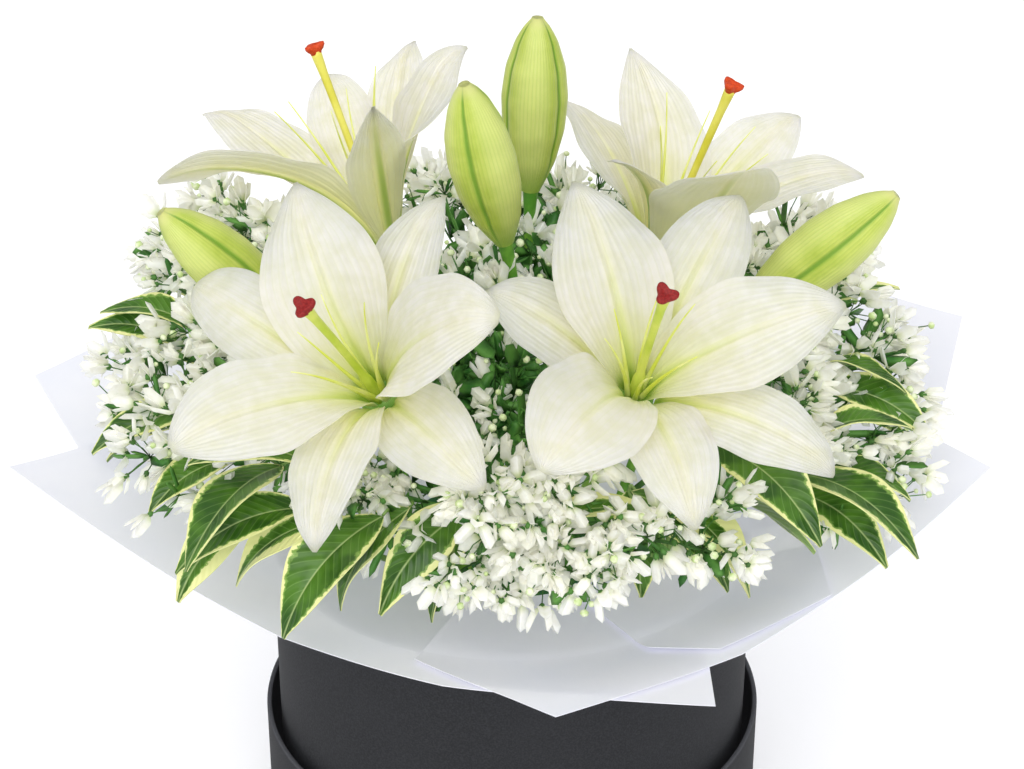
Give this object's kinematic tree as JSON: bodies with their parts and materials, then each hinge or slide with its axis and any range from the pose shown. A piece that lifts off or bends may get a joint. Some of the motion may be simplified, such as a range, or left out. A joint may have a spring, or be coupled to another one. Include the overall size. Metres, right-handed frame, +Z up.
{
  "type": "lilies in a box",
  "caption": "White lilies, lily buds, small white filler flowers and variegated leaves cut into floral foam in a round black hat box with a white paper ruff.",
  "frame": {"origin": "centre of the underside of the lid that stands under the box as a tray", "axes": "+Z up, -Y towards the front of the arrangement, +X to the right seen from the front"},
  "size_m": [0.4802, 0.3671, 0.3984],
  "materials": {
    "black_board": "matte",
    "floral_foam": "matte",
    "liner_film": "gloss",
    "white_paper": "matte",
    "lily_tepal": "satin",
    "lily_stem": "satin",
    "lily_stamen": "satin",
    "lily_pistil": "satin",
    "lily_stigma": "satin",
    "bud_green": "satin",
    "leaf_green": "satin",
    "filler_flower": "matte",
    "filler_stem": "matte"
  },
  "bodies": {
    "root": {"box": "black_board", "bud_centre_back": "bud_green", "bud_centre_front": "bud_green", "bud_left": "bud_green", "bud_right": "bud_green", "filler_back": "filler_flower", "filler_centre": "filler_flower", "filler_front": "filler_flower", "filler_left": "filler_flower", "filler_right": "filler_flower", "floral_foam": "floral_foam", "foam_liner": "liner_film", "leaves_front_left": "leaf_green", "leaves_front_right": "leaf_green", "leaves_left": "leaf_green", "leaves_right": "leaf_green", "lid_tray": "black_board", "lily_back_left_pistil": "lily_pistil", "lily_back_left_stamens": "lily_stamen", "lily_back_left_stem": "lily_stem", "lily_back_left_tepal_left": "lily_tepal", "lily_back_left_tepal_lower_left": "lily_tepal", "lily_back_left_tepal_near": "lily_tepal", "lily_back_left_tepal_right": "lily_tepal", "lily_back_left_tepal_upper": "lily_tepal", "lily_back_left_tepal_upper_right": "lily_tepal", "lily_back_right_pistil": "lily_pistil", "lily_back_right_stamens": "lily_stamen", "lily_back_right_stem": "lily_stem", "lily_back_right_tepal_left": "lily_tepal", "lily_back_right_tepal_lower_left": "lily_tepal", "lily_back_right_tepal_near": "lily_tepal", "lily_back_right_tepal_right": "lily_tepal", "lily_back_right_tepal_upper_left": "lily_tepal", "lily_back_right_tepal_upper_right": "lily_tepal", "lily_front_left_pistil": "lily_pistil", "lily_front_left_stamens": "lily_stamen", "lily_front_left_stem": "lily_stem", "lily_front_left_tepal_left": "lily_tepal", "lily_front_left_tepal_lower_left": "lily_tepal", "lily_front_left_tepal_lower_right": "lily_tepal", "lily_front_left_tepal_right": "lily_tepal", "lily_front_left_tepal_upper": "lily_tepal", "lily_front_left_tepal_upper_left": "lily_tepal", "lily_front_left_tepal_upper_right": "lily_tepal", "lily_front_right_pistil": "lily_pistil", "lily_front_right_stamens": "lily_stamen", "lily_front_right_stem": "lily_stem", "lily_front_right_tepal_left": "lily_tepal", "lily_front_right_tepal_lower": "lily_tepal", "lily_front_right_tepal_lower_left": "lily_tepal", "lily_front_right_tepal_lower_right": "lily_tepal", "lily_front_right_tepal_right": "lily_tepal", "lily_front_right_tepal_upper_left": "lily_tepal", "lily_front_right_tepal_upper_right": "lily_tepal", "paper_back_left": "white_paper", "paper_back_right": "white_paper", "paper_fold_right": "white_paper", "paper_front_left": "white_paper", "paper_front_right": "white_paper"}
  },
  "joints": []
}
